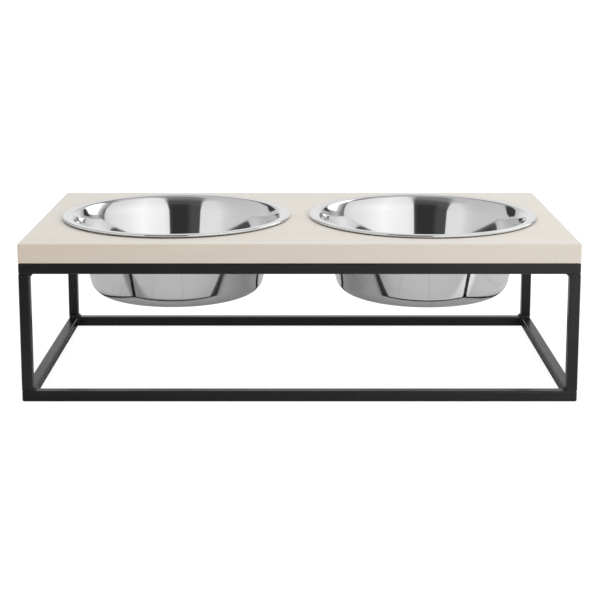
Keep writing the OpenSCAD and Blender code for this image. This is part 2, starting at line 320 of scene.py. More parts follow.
def tube_outline(size, r, seg=6):
    """The rounded square as (x, y, how near a corner's middle, outward normal), with support points on its flats."""
    h = size / 2
    out = []
    corners = [(h - r, h - r, 0), (r - h, h - r, 90), (r - h, r - h, 180), (h - r, r - h, 270)]
    for c, (cx, cy, a0) in enumerate(corners):
        for k in range(seg + 1):
            a = math.radians(a0 + 90 * k / seg)
            # the third value is the edge mask, which the coat paints lighter: partly wear, partly a painted highlight
            out.append((cx + r * math.cos(a), cy + r * math.sin(a), math.sin(math.pi * k / seg) ** 0.7 if 0 < k < seg else 0.12))
        nx, ny, na = corners[(c + 1) % 4]
        e = math.radians(na)
        p, q = out[-1], (nx + r * math.cos(e), ny + r * math.sin(e))
        span = math.hypot(q[0] - p[0], q[1] - p[1])
        for s in (0.45 / span, 0.5, 1 - 0.45 / span):
            out.append((p[0] + (q[0] - p[0]) * s, p[1] + (q[1] - p[1]) * s, 0.0))
    return out


# ---------------------------------------------------------------- the steel cage

def rail_mesh(name, length, across, z0, turn, seed):
    """One mitred rail of a ring. It is drawn as the front one, with its outer face at -across/2, and then turned."""
    bm = bmesh.new()
    layer = bm.verts.layers.float.new("edge")
    outline = tube_outline(TUBE, TUBE_R)
    steps = 6
    loops = [("end", -1, math.radians(45 * (steps - k) / steps)) for k in range(steps + 1)]
    reach = length / 2 - TUBE - 3
    n = max(4, int(2 * reach / 14))
    loops += [("run", -reach + 2 * reach * i / n, 0) for i in range(n + 1)]
    loops += [("end", 1, math.radians(45 * k / steps)) for k in range(steps + 1)]
    rot = Matrix.Rotation(math.radians(turn), 3, "Z")
    rings = []
    for kind, where, a in loops:
        ring = []
        for u, w, e in outline:
            d = u + TUBE / 2
            if kind == "run":
                x, y = where, -across / 2 + d
            elif d < RING_R:
                x = where * (length / 2 - RING_R + (RING_R - d) * math.sin(a))
                y = -across / 2 + RING_R - (RING_R - d) * math.cos(a)
                e = max(e, 0.8 * (a > 0.05) * (1 - d / RING_R))
            else:
                x, y = where * (length / 2 - d), -across / 2 + d
            p = Vector((x, y, z0 + TUBE / 2 + w))
            # welding and drawing leave the faces a little less than flat
            if kind == "run":
                k = noise.noise(Vector((x * 0.021, u * 0.2 + seed, w * 0.2)))
                inward = Vector((0, -u, -w)).normalized() if e < 0.05 else Vector((0, 0, 0))
                p += inward * 0.035 * (0.5 + 0.5 * k)
            v = bm.verts.new(rot @ p * MM)
            v[layer] = e
            ring.append(v)
        rings.append(ring)
    for a, b in zip(rings, rings[1:]):
        strip(bm, a, b)
    bm.faces.new(rings[0])
    bm.faces.new(rings[-1])
    return to_mesh(name, bm)


def leg_mesh(name, x, y, seed):
    """One post between the rings. Its ends are drawn in a little, which leaves the thin groove of the joint."""
    bm = bmesh.new()
    layer = bm.verts.layers.float.new("edge")
    outline = tube_outline(TUBE, TUBE_R)
    z0, z1 = TUBE, FRAME_H - TUBE
    stops = [(-1.2, 1.5), (-0.8, 1.0), (-0.4, 0.66), (-0.1, 0.40), (0.2, 0.16), (0.5, 0.04), (0.9, 0.0)]
    levels = [(z0 + dz, inset) for dz, inset in stops]
    n = 9
    levels += [(z0 + 4 + (z1 - z0 - 8) * i / n, 0) for i in range(n + 1)]
    levels += [(z1 - dz, inset) for dz, inset in reversed(stops)]
    rings = []
    for z, inset in levels:
        ring = []
        for u, w, e in outline:
            k = (TUBE / 2 - inset) / (TUBE / 2)
            p = Vector((x + u * k, y + w * k, z))
            if inset == 0 and e < 0.05:
                q = noise.noise(Vector((u * 0.2 + seed, w * 0.2, z * 0.03)))
                p -= Vector((u, w, 0)).normalized() * 0.035 * (0.5 + 0.5 * q)
            v = bm.verts.new(p * MM)
            v[layer] = e
            ring.append(v)
        rings.append(ring)
    for a, b in zip(rings, rings[1:]):
        strip(bm, a, b)
    bm.faces.new(rings[0])
    bm.faces.new(rings[-1])
    return to_mesh(name, bm)


def add_bead(bm, layer, start, along, up, out, length, size, seed, wrap=0.0, pitch=0.95):
    """A fillet weld in the corner between two faces. start is the corner's end, along the way it runs, and up and out the
    two face directions. wrap is the radius of the rounded edges that it runs over at both of its ends."""
    n = max(14, int(length / 0.22))
    m = 9
    rings = []
    for i in range(n + 1):
        s = length * i / n
        sigma = 2 * i / n - 1
        env = max(0.12, (1 - abs(sigma * 0.985) ** 5)) ** 0.5
        wob = noise.noise(Vector((s * 0.55, seed, 0.3)))
        a = size * env * (1 + 0.22 * wob)
        b = size * env * (1 + 0.16 * noise.noise(Vector((s * 0.5, seed + 4.2, 1.3))))
        drop = 0.0
        d = min(s, length - s)
        if wrap and d < wrap:
            drop = wrap - math.sqrt(max(wrap * wrap - (wrap - d) ** 2, 0))
        origin = start + along * s - (up + out) * drop
        ring = []
        for k in range(m + 1):
            t = k / m
            arch = math.sin(math.pi * t)
            lift = 0.10 * size * arch * env
            ph = (s - 0.42 * arch + 0.1 * wob) / pitch
            lift += 0.085 * arch * env * abs(math.sin(math.pi * ph))
            lift += 0.28 * arch * env * noise.noise(Vector((s * 1.1, t * 2.8, seed)))
            p = origin + out * (a * (1 - t)) + up * (b * t) + (up + out).normalized() * lift
            v = bm.verts.new(p * MM)
            # the crest goes into the edge mask, which the coat paints lighter: partly wear, partly a painted highlight
            v[layer] = 0.30 * arch
            ring.append(v)
        for p in (origin - out * 0.35 + up * b * 0.98, origin - (up + out) * 0.4, origin - up * 0.35 + out * a * 0.98):
            v = bm.verts.new(p * MM)
            v[layer] = 0.0
            ring.append(v)
        rings.append(ring)
    for a, b in zip(rings, rings[1:]):
        strip(bm, a, b)
    bm.faces.new(rings[0])
    bm.faces.new(list(reversed(rings[-1])))


def leg_bead_mesh(name, z, up):
    """All the fillets where the four legs meet one ring, with a small blob where two of them run together."""
    bm = bmesh.new()
    layer = bm.verts.layers.float.new("edge")
    upv = Vector((0, 0, up))
    seed = 3.0 if up > 0 else 11.0
    for sx in (-1, 1):
        for sy in (-1, 1):
            inx, iny = Vector((-sx, 0, 0)), Vector((0, -sy, 0))
            seed += 2.7
            corner = Vector((sx * W / 2, sy * D / 2, z))
            # along Y on the leg's inner face towards the middle in X, then along X on its other inner face
            add_bead(bm, layer, corner + inx * TUBE + iny * 0.35, iny, upv, inx, TUBE - 0.7, WELD, seed, wrap=TUBE_R)
            add_bead(bm, layer, corner + iny * TUBE + inx * 0.35, inx, upv, iny, TUBE - 0.7, WELD, seed + 1.3, wrap=TUBE_R)
            # the two inner rails' own corner seam, just under the foot of the leg
            add_bead(bm, layer, corner + inx * TUBE + iny * TUBE - upv * 0.9, -upv, inx, iny, TUBE - 3.4, 1.5, seed + 2.1, pitch=0.8)
    return to_mesh(name, bm, merge=0)


def tab_bead_mesh(name):
    bm = bmesh.new()
    layer = bm.verts.layers.float.new("edge")
    run = TAB_LEG * 0.42
    z = FRAME_H - TAB_T
    down = Vector((0, 0, -1))
    seed = 41.0
    for sx in (-1, 1):
        for sy in (-1, 1):
            inx, iny = Vector((-sx, 0, 0)), Vector((0, -sy, 0))
            mid = TAB_LEG / 2 + 2
            seed += 3.1
            add_bead(bm, layer, Vector((sx * IN_X, sy * IN_Y, z)) + iny * (mid - run / 2), iny, down, inx, run, WELD * 0.9, seed)
            add_bead(bm, layer, Vector((sx * IN_X, sy * IN_Y, z)) + inx * (mid - run / 2), inx, down, iny, run, WELD * 0.9, seed + 1.7)
    return to_mesh(name, bm, merge=0)


def tab_mesh(name, sx, sy):
    """A corner plate with eased edges and one round hole."""
    bm = bmesh.new()
    layer = bm.verts.layers.float.new("edge")
    plan = [(0, 0), (TAB_LEG, 0), (TAB_LEG, 4), (4, TAB_LEG), (0, TAB_LEG)]
    hole = [(SCREW_OFF + (SCREW_R + 0.3) * math.cos(math.tau * i / 40), SCREW_OFF + (SCREW_R + 0.3) * math.sin(math.tau * i / 40))
            for i in range(40)]
    z0, z1 = FRAME_H - TAB_T, FRAME_H

    def world(p, z):
        return Vector((sx * (IN_X - p[0]), sy * (IN_Y - p[1]), z)) * MM

    ends = []
    for loop in (plan, hole):
        low = [bm.verts.new(world(p, z0)) for p in loop]
        high = [bm.verts.new(world(p, z1)) for p in loop]
        strip(bm, low, high)
        ends.append((low, high))
    for which in (0, 1):
        edges = []
        for pair in ends:
            vs = pair[which]
            edges += [bm.edges.get((vs[i], vs[(i + 1) % len(vs)])) for i in range(len(vs))]
        bmesh.ops.triangle_fill(bm, use_beauty=True, edges=edges)
    bmesh.ops.recalc_face_normals(bm, faces=bm.faces[:])
    sharp = [e for e in bm.edges if len(e.link_faces) == 2 and e.calc_face_angle(0) > math.radians(30)]
    done = bmesh.ops.bevel(bm, geom=sharp, offset=0.28 * MM, segments=3, profile=0.5, affect="EDGES", clamp_overlap=True)
    for f in done["faces"]:
        for v in f.verts:
            v[layer] = 0.7
    return to_mesh(name, bm)


def screw_mesh(name):
    """Four identical pan-head wood screws, point up, each with a cross recess and a cut thread."""
    bm = bmesh.new()
    head_r, head_h = SCREW_R * 1.96, SCREW_R * 1.16
    length = TAB_T + 12.0
    seg = 64
    for sx in (-1, 1):
        for sy in (-1, 1):
            at = Vector((sx * (IN_X - SCREW_OFF), sy * (IN_Y - SCREW_OFF), FRAME_H - TAB_T))
            rows = []
            # the head from the middle of its face outwards
            for k in range(1, 23):
                r = head_r * 0.70 * k / 22
                rows.append([(r, -head_h + 0.18 * (r / head_r) ** 2, True)] * seg)
            for a in range(1, 13):
                q = math.radians(90 * a / 12)
                rows.append([(head_r * 0.70 + head_r * 0.30 * math.sin(q), -0.35 - (head_h - 0.44) * math.cos(q), False)] * seg)
            rows.append([(head_r, -0.05, False)] * seg)
            rows.append([(head_r - 0.08, 0.0, False)] * seg)
            rows.append([(SCREW_R * 0.9, 0.0, False)] * seg)
            n = 90
            for k in range(n + 1):
                z = 0.15 + (length - 0.15) * k / n
                taper = min(1.0, (length - z) / 4.2) ** 0.85
                row = []
                for i in range(seg):
                    f = (z / 1.5 - i / seg) % 1.0
                    crest = max(0.0, 1 - abs(f - 0.5) / 0.28) * min(1.0, max(0.0, (z - TAB_T) / 1.0))
                    row.append(((1.38 + 0.55 * crest) * max(taper, 0.02), z, False))
                rows.append(row)
            rings = []
            for row in rows:
                ring = []
                for i, (r, z, face) in enumerate(row):
                    a = math.tau * i / seg
                    x, y = r * math.cos(a), r * math.sin(a)
                    if face:
                        reach = head_r * 0.56
                        arm = 0.0
                        for u, v in ((abs(x), abs(y)), (abs(y), abs(x))):
                            width = 0.62 - 0.16 * u / reach
                            across = min(1.0, max(0.0, (width - v) / 0.16))
                            along = min(1.0, max(0.0, (reach - u) / 0.5))
                            arm = max(arm, across * across * (3 - 2 * across) * along ** 0.6)
                        z += 1.15 * arm
                    ring.append(bm.verts.new((at + Vector((x, y, z))) * MM))
                rings.append(ring)
            for a, b in zip(rings, rings[1:]):
                strip(bm, a, b)
            for ring, z in ((rings[0], -head_h + 1.15), (rings[-1], length)):
                tip = bm.verts.new((at + Vector((0, 0, z))) * MM)
                for i in range(seg):
                    bm.faces.new((ring[i], ring[(i + 1) % seg], tip))
    return to_mesh(name, bm, merge=0)


for level, z in (("bottom", 0.0), ("top", FRAME_H - TUBE)):
    for i, (side, length, across, turn) in enumerate((("front", W, D, 0), ("rear", W, D, 180), ("left", D, W, -90), ("right", D, W, 90))):
        node = f"{side}_{level}_rail"
        me = rail_mesh(node + "_mesh", length, across, z, turn, 5.0 * i + z)
        show(node + "_coated", me, COAT, "stand", [node], sharp=40)

for i, (name, sx, sy) in enumerate((("front_left", -1, -1), ("front_right", 1, -1), ("rear_left", -1, 1), ("rear_right", 1, 1))):
    me = leg_mesh(name + "_leg_mesh", sx * (W - TUBE) / 2, sy * (D - TUBE) / 2, 7.0 * i)
    show(name + "_leg_coated", me, COAT, "stand", [name + "_leg"], sharp=40)
    me = tab_mesh(name + "_tab_mesh", sx, sy)
    show(name + "_tab_coated", me, COAT, "stand", [name + "_tab"], sharp=35)

show("upper_welds_coated", leg_bead_mesh("upper_weld_mesh", FRAME_H - TUBE, -1), COAT, "stand",
     ["upper_weld_beads"], sharp=60)
show("lower_welds_coated", leg_bead_mesh("lower_weld_mesh", TUBE, 1), COAT, "stand",
     ["lower_weld_beads"], sharp=60)
show("tab_welds_coated", tab_bead_mesh("tab_weld_mesh"), COAT, "stand", ["tab_weld_beads"], sharp=60)
show("board_screws_plated", screw_mesh("screw_mesh"), ZINC, "stand", ["board_screws"], sharp=35)


# ---------------------------------------------------------------- the board

def board_mesh(name):
    bm = bmesh.new()
    edge = bm.verts.layers.float.new("edge")
    side = bm.verts.layers.float.new("side")
    # the plan outline as (corner centre or edge point, outward normal), walked anticlockwise
    plan = []
    quarter = 8
    for c, (sx, sy) in enumerate(((1, -1), (1, 1), (-1, 1), (-1, -1))):
        cx, cy = sx * (W / 2 - CORNER_R), sy * (D / 2 - CORNER_R)
        a0 = -90 + 90 * c
        for k in range(quarter + 1):
            a = math.radians(a0 + 90 * k / quarter)
            plan.append((cx + CORNER_R * math.cos(a), cy + CORNER_R * math.sin(a), math.cos(a), math.sin(a)))
        a = math.radians(a0 + 90)
        nx, ny = math.cos(a), math.sin(a)
        along = (W if c % 2 else D) - 2 * CORNER_R
        steps = int(along / 6)
        for k in range(1, steps):
            s = along * k / steps
            plan.append((plan[-1][0] if False else cx + CORNER_R * nx - ny * s, cy + CORNER_R * ny + nx * s, nx, ny))
    z0, z1 = board_lo.z, board_hi.z
    arc = 6
    # the third value is the edge mask, which the wood paints darker: partly wear, partly painted shade
    prof = [(EDGE_R + 0.5, z0, 0.0, 0.0)]
    for k in range(arc + 1):
        a = math.radians(90 * k / arc)
        prof.append((EDGE_R * (1 - math.sin(a)), z0 + EDGE_R * (1 - math.cos(a)), math.sin(math.pi * k / arc) ** 0.8 if 0 < k < arc else 0.15, k / arc))
    prof.append((0.0, z0 + EDGE_R + 0.5, 0.0, 1.0))
    for k in range(1, 4):
        prof.append((0.0, z0 + EDGE_R + 0.5 + (z1 - z0 - 2 * EDGE_R - 1.0) * k / 4, 0.0, 1.0))
    prof.append((0.0, z1 - EDGE_R - 0.5, 0.0, 1.0))
    for k in range(arc + 1):
        a = math.radians(90 * k / arc)
        prof.append((EDGE_R * (1 - math.cos(a)), z1 - EDGE_R * (1 - math.sin(a)), math.sin(math.pi * k / arc) ** 0.8 if 0 < k < arc else 0.15, 1 - k / arc))
    prof.append((EDGE_R + 0.5, z1, 0.0, 0.0))
    rings = []
    for inset, z, e, sd in prof:
        ring = []
        for i, (x, y, nx, ny) in enumerate(plan):
            # a hand-sanded edge isn't quite even
            wave = 0.10 * e * noise.noise(Vector((x * 0.045, y * 0.045, z * 0.5)))
            v = bm.verts.new(Vector((x - nx * (inset + max(0, wave)), y - ny * (inset + max(0, wave)), z)) * MM)
            v[edge], v[side] = e, sd
            ring.append(v)
        rings.append(ring)
    for a, b in zip(rings, rings[1:]):
        strip(bm, a, b)
    low, high = [rings[0]], [rings[-1]]
    # the cut-outs, each with both its edges eased
    shoulder_cx = RIM_R - RIM_W
    shoulder_cy = BEAD_GAP + 2 * BEAD_R - 0.2 - SHOULDER_R
    cut = shoulder_cx - math.sqrt((SHOULDER_R - SHEET) ** 2 - shoulder_cy ** 2) + NECK_GAP  # the neck is on the shoulder's arc
    seg = 192
    for sx in (-1, 1):
        walls = [(cut + CHAMFER + 0.5, z0, 0.0, 0.0)]
        for k in range(5):
            a = math.radians(90 * k / 4)
            walls.append((cut + CHAMFER * (1 - math.sin(a)), z0 + CHAMFER * (1 - math.cos(a)), 0.7 if 0 < k < 4 else 0.1, k / 4))
        walls.append((cut, z0 + CHAMFER + 0.5, 0.0, 1.0))
        walls.append((cut, (z0 + z1) / 2, 0.0, 1.0))
        walls.append((cut, z1 - CHAMFER - 0.5, 0.0, 1.0))
        for k in range(5):
            a = math.radians(90 * k / 4)
            walls.append((cut + CHAMFER * (1 - math.cos(a)), z1 - CHAMFER * (1 - math.sin(a)), 0.7 if 0 < k < 4 else 0.1, 1 - k / 4))
        walls.append((cut + CHAMFER + 0.5, z1, 0.0, 0.0))
        rings = []
        for r, z, e, sd in walls:
            ring = []
            for i in range(seg):
                a = math.tau * i / seg
                v = bm.verts.new(Vector((sx * PITCH / 2 + r * math.cos(a), r * math.sin(a), z)) * MM)
                v[edge], v[side] = e, sd
                ring.append(v)
            rings.append(ring)
        for a, b in zip(rings, rings[1:]):
            strip(bm, a, b)
        low.append(rings[0])
        high.append(rings[-1])
    # the pilot holes for the screws
    for sx in (-1, 1):
        for sy in (-1, 1):
            rings = []
            for r, z in ((SCREW_R + 0.05, z0), (SCREW_R + 0.05, z0 + 12.1), (0.6, z0 + 13.0)):
                rings.append([bm.verts.new(Vector((sx * (IN_X - SCREW_OFF) + r * math.cos(math.tau * i / 28),
                                                   sy * (IN_Y - SCREW_OFF) + r * math.sin(math.tau * i / 28), z)) * MM)
                              for i in range(28)])
            for a, b in zip(rings, rings[1:]):
                strip(bm, a, b)
            bm.faces.new(rings[-1])
            low.append(rings[0])
    for loops in (low, high):
        edges = []
        for vs in loops:
            edges += [bm.edges.get((vs[i], vs[(i + 1) % len(vs)])) for i in range(len(vs))]
        bmesh.ops.triangle_fill(bm, use_beauty=True, edges=edges)
    return to_mesh(name, bm)


show("board_whitewashed", board_mesh("board_mesh"), WOOD, "stand", ["top_board"], sharp=50)


# ---------------------------------------------------------------- the bowls

def bowl_centreline():
    """The middle of the sheet, from the axis out along the bottom, up the wall, over the shoulder and round the rolled rim.
    Each point is (radius, height above the board, direction of travel in degrees)."""
    t = SHEET / 2
    bead_cx, bead_cy = RIM_R - BEAD_R, BEAD_GAP + BEAD_R
    flange = bead_cy + BEAD_R - 0.2
    scx, scy = RIM_R - RIM_W, flange - SHOULDER_R
    lean, flare = math.radians(WALL_LEAN), math.radians(FLARE_LEAN)
    fcx, fcy = scx + (FLARE_R - SHOULDER_R) * math.cos(flare), scy - (FLARE_R - SHOULDER_R) * math.sin(flare)
    wx0, wy0 = fcx - (FLARE_R - SHEET) * math.cos(lean), fcy + (FLARE_R - SHEET) * math.sin(lean)
    bcy = -BOWL_DEPTH + BASE_R
    bcx = wx0 - (wy0 - bcy) * math.tan(lean) - BASE_R / math.cos(lean)
    path = [(bcx * k / 12, -BOWL_DEPTH + t, 0.0) for k in range(12)]
    n = 30
    for k in range(n + 1):
        a = -90 + (90 - WALL_LEAN) * k / n
        path.append((bcx + (BASE_R - t) * math.cos(math.radians(a)), bcy + (BASE_R - t) * math.sin(math.radians(a)), a + 90))
    ex, ey = fcx + (FLARE_R - t) * math.cos(math.radians(180 - WALL_LEAN)), fcy + (FLARE_R - t) * math.sin(math.radians(180 - WALL_LEAN))
    px, py, pa = path[-1]
    for k in range(1, 14):
        s = k / 14
        path.append((px + (ex - px) * s, py + (ey - py) * s, pa))
    n = 18
    for k in range(n):
        a = 180 - WALL_LEAN - (FLARE_LEAN - WALL_LEAN) * k / n
        path.append((fcx + (FLARE_R - t) * math.cos(math.radians(a)), fcy + (FLARE_R - t) * math.sin(math.radians(a)), a - 90))
    n = 26
    for k in range(n + 1):
        a = 180 - FLARE_LEAN - (90 - FLARE_LEAN) * k / n
        path.append((scx + (SHOULDER_R - t) * math.cos(math.radians(a)), scy + (SHOULDER_R - t) * math.sin(math.radians(a)), a - 90))
    # the flat of the rim, the small dip before the roll, and the roll itself
    fy = flange - t
    roll = BEAD_R - t
    top = bead_cy + roll
    x0, x1 = scx, bead_cx
    for k in range(1, 15):
        s = k / 15
        x = x0 + (x1 - x0) * s
        dip = -0.07 * math.exp(-((s - 0.62) / 0.13) ** 2)
        rise = (top - fy) * (0.5 - 0.5 * math.cos(math.pi * min(1, max(0, (s - 0.55) / 0.45))))
        path.append((x, fy + dip + rise, None))
    n = 34
    for k in range(n + 1):
        a = 90 - 252 * k / n
        path.append((bead_cx + roll * math.cos(math.radians(a)), bead_cy + roll * math.sin(math.radians(a)), a - 90))
    return path


def bowl_mesh(name):
    """The spun sheet as one closed solid, with its true normals."""
    path = bowl_centreline()
    t = SHEET / 2
    left, right = [], []
    for i, (x, y, a) in enumerate(path):
        if a is None:
            p, q = path[i - 1], path[i + 1]
            a = math.degrees(math.atan2(q[1] - p[1], q[0] - p[0]))
        nx, ny = -math.sin(math.radians(a)), math.cos(math.radians(a))
        left.append((x + nx * t, y + ny * t, nx, ny))      # the side that the food sees
        right.append((x - nx * t, y - ny * t, -nx, -ny))
    x, y, a = path[-1]
    lip = []
    for k in range(1, 8):
        q = math.radians(a + 90 - 180 * k / 8)
        lip.append((x + t * math.cos(q), y + t * math.sin(q), math.cos(q), math.sin(q)))
    prof = left + lip + right[::-1]
    seg = 288
    verts, normals, faces = [], [], []
    rows = []
    for r, y, nr, ny in prof:
        if r < 1e-6:
            rows.append([len(verts)])
            verts.append((0, 0, (TOP + y) * MM))
            normals.append((0, 0, ny))
            continue
        row = []
        for i in range(seg):
            c, s = math.cos(math.tau * i / seg), math.sin(math.tau * i / seg)
            row.append(len(verts))
            verts.append((r * c * MM, r * s * MM, (TOP + y) * MM))
            normals.append((nr * c, nr * s, ny))
        rows.append(row)
    for a, b in zip(rows, rows[1:]):
        for i in range(seg):
            j = (i + 1) % seg
            if len(a) == 1:
                faces.append((a[0], b[i], b[j]))
            elif len(b) == 1:
                faces.append((a[i], b[0], a[j]))
            else:
                faces.append((a[i], b[i], b[j], a[j]))
    me = bpy.data.meshes.new(name)
    me.from_pydata(verts, [], faces)
    me.polygons.foreach_set("use_smooth", [True] * len(me.polygons))
    me.update()
    me.normals_split_custom_set_from_vertices(normals)
    return me


# each bowl sits loosely in its cut-out, a little higher at its front left
for name, sx, angle, lift in (("left_bowl", -1, 0.24, 0.35), ("right_bowl", 1, 0.13, 0.15)):
    part = angle * math.sqrt(0.5)
    slip = math.radians(part) * TOP
    show(name + "_polished", bowl_mesh(name + "_mesh"), STEEL, name, [name],
         at=((sx * PITCH / 2 - slip) * MM, -slip * MM, lift * MM), lean=(-part, part))


# ---------------------------------------------------------------- floor, studio and camera

def flat_disc(name, radius, z, seg=96):
    bm = bmesh.new()
    bmesh.ops.create_circle(bm, cap_ends=True, radius=radius, segments=seg, matrix=Matrix.Translation((0, 0, z)))
    me = bpy.data.meshes.new(name)
    bm.to_mesh(me)
    bm.free()
    ob = bpy.data.objects.new(name, me)
    bpy.context.scene.collection.objects.link(ob)
    return ob


floor = flat_disc("studio_floor", 40.0, -0.0002)
fm, ft, fs = new_material("studio_floor")
fs.inputs["Base Color"].default_value = rgb(0.22, 0.22, 0.22)
fs.inputs["Roughness"].default_value = 1.0
fs.inputs["Specular IOR Level"].default_value = 0.0
fs.inputs["Emission Color"].default_value = rgb(1.0, 1.0, 1.0)
fs.inputs["Emission Strength"].default_value = 0.90
fm.cycles.emission_sampling = "NONE"
floor.data.materials.append(fm)
floor.visible_glossy = False


def only_mirrored(ob):
    """Leaves the object to what polished surfaces reflect."""
    ob.visible_camera = False
    ob.visible_diffuse = False
    ob.visible_shadow = False
    ob.visible_transmission = False
    ob.visible_volume_scatter = False


# the same floor as the metal mirrors it: a greyer copy, painted shade, with faint joints between the sheets
mirrored = flat_disc("studio_floor_shaded_for_mirrors", 40.0, -0.0001)
gm, gt, gs = new_material("studio_floor_shaded_for_mirrors")
gx = put(gt, "SeparateXYZ", {0: put(gt, "TexCoord").outputs["Object"]}).outputs
joint = calc(gt, "ABSOLUTE", calc(gt, "SUBTRACT", calc(gt, "FRACT", calc(gt, "MULTIPLY", calc(gt, "ADD", gx[0], 0.031), 9.0)), 0.5))
near = blend(gt, ramp(gt, joint, 0.0, 0.05, 1.0, 0.0), rgb(0.56, 0.56, 0.56), rgb(0.50, 0.50, 0.50))
# in front of the stand it is painted darker to the left and brighter to the right: painted shade and painted light for
# the metal to reflect
across = blend(gt, ramp(gt, gx[0], -0.30, 0.34, smooth=False), rgb(0.26, 0.26, 0.26), rgb(0.88, 0.88, 0.88))
ahead = calc(gt, "MAXIMUM", ramp(gt, gx[1], -0.26, -0.34), calc(gt, "MULTIPLY", ramp(gt, gx[1], -0.175, -0.160), ramp(gt, gx[1], -0.12, -0.135)))
gt.links.new(blend(gt, ahead, near, across), gs.inputs["Base Color"])
gs.inputs["Roughness"].default_value = 1.0
gs.inputs["Specular IOR Level"].default_value = 0.0
mirrored.data.materials.append(gm)
only_mirrored(mirrored)


def glowing(name, verts, faces, level):
    """A lit surface that only polished metal sees, with a brightness at each of its points."""
    me = bpy.data.meshes.new(name)
    me.from_pydata(verts, [], faces)
    me.update()
    me.attributes.new("level", "FLOAT", "POINT").data.foreach_set("value", level)
    m = bpy.data.materials.new(name)
    m.use_nodes = True
    t = m.node_tree
    t.nodes.clear()
    out = t.nodes.new("ShaderNodeOutputMaterial")
    em = put(t, "Emission", {"Color": rgb(1.0, 1.0, 1.0), "Strength": put(t, "Attribute", attribute_name="level").outputs["Fac"]})
    t.links.new(em.outputs[0], out.inputs[0])
    m.cycles.emission_sampling = "NONE"
    me.materials.append(m)
    ob = bpy.data.objects.new(name, me)
    bpy.context.scene.collection.objects.link(ob)
    only_mirrored(ob)
    return ob


def table(x, rows):
    """Straight lines between (x, value) rows."""
    if x <= rows[0][0]:
        return rows[0][1]
    for (x0, v0), (x1, v1) in zip(rows, rows[1:]):
        if x <= x1:
            return v0 + (v1 - v0) * (x - x0) / (x1 - x0)
    return rows[-1][1]


def ease(x, lo, hi):
    k = min(1.0, max(0.0, (x - lo) / (hi - lo)))
    return k * k * (3 - 2 * k)


# The mirrored studio, by direction from the bowls: azimuth from the front, positive to the right, and elevation.
# sweep runs from the front horizon over the top to the back, and lateral leans from that plane to the right.
GAP = [(0, 0.034), (33, 0.040), (37, 0.055), (40, 0.085), (46, 0.092), (50, 0.115), (53, 0.16), (56, 0.23), (75, 0.27), (92, 0.33), (103, 0.45),
       (115, 0.56), (140, 0.68)]
GAP_LEFT = [(0, -30.2), (20, -30.1), (35, -29.4), (45, -28.3), (55, -27.2), (66, -25.2), (80, -18.0), (90, -14.5), (100, -9.0), (108, -4.0)]
LEFT_WALL = [(-180, 0.86), (-168, 0.80), (-160, 0.71), (-150, 0.64), (-138, 0.61), (-130, 0.64), (-122, 0.70), (-100, 0.68), (-80, 0.69),
             (-70, 0.73), (-62, 0.79), (-55, 0.91), (-50, 0.92), (-30, 0.90)]
LEFT_UP = [(8, 1.03), (16, 1.0), (28, 0.95), (40, 0.92), (52, 0.90), (62, 0.93), (72, 0.84)]
RIGHT_WALL = [(9, 0.92), (11.5, 0.97), (15, 1.04), (20, 1.09), (30, 1.13), (40, 1.17), (48, 1.23), (56, 1.17), (66, 1.09), (78, 1.01), (90, 0.96),
              (99, 0.89), (105, 0.81)]
RIGHT_UP = [(0, 0.97), (12, 0.97), (17, 1.0), (26, 1.01), (32, 0.97), (37, 0.93), (45, 0.89), (60, 0.86), (72, 0.88)]
BACK = [(5, 0.88), (14, 0.87), (20, 0.77), (24, 0.70), (30, 0.58), (34, 0.42), (38, 0.31), (46, 0.31), (52, 0.42), (59, 0.57), (65, 0.54), (75, 0.40),
        (90, 0.32)]
WINDOW_NEAR = [(12, 121), (15.5, 120.5), (19, 120), (24, 118.5), (30, 117.5), (36, 117.5), (42, 119.5), (46, 125)]
WINDOW_FAR = [(12, 135.5), (17, 138.5), (20, 140.5), (24, 146), (28, 152), (34, 160), (40, 161), (46, 157)]
SILL = [(105, 0.18), (108, 0.21), (114, 0.33), (120, 0.60), (126, 0.52), (132, 0.42), (137, 0.24), (141, 0.10), (150, 0.06)]
STRIP_LO = [(10, -147.5), (24, -148.5), (30, -156), (36, -168), (44, -178)]
STRIP_HI = [(10, -135.5), (13, -133), (16, -130.3), (25, -129.5), (31, -130.5), (34, -135), (40, -150)]
SIDE_EDGE = [(12, 106.0), (26, 105.5), (33, 104.0), (41, 102.5)]
REACH = [(-180, 1.98), (-140, 1.98), (-100, 1.7), (-60, 1.38), (-31.4, 1.127), (10, 1.53), (40, 1.9), (70, 1.98), (180, 1.98)]


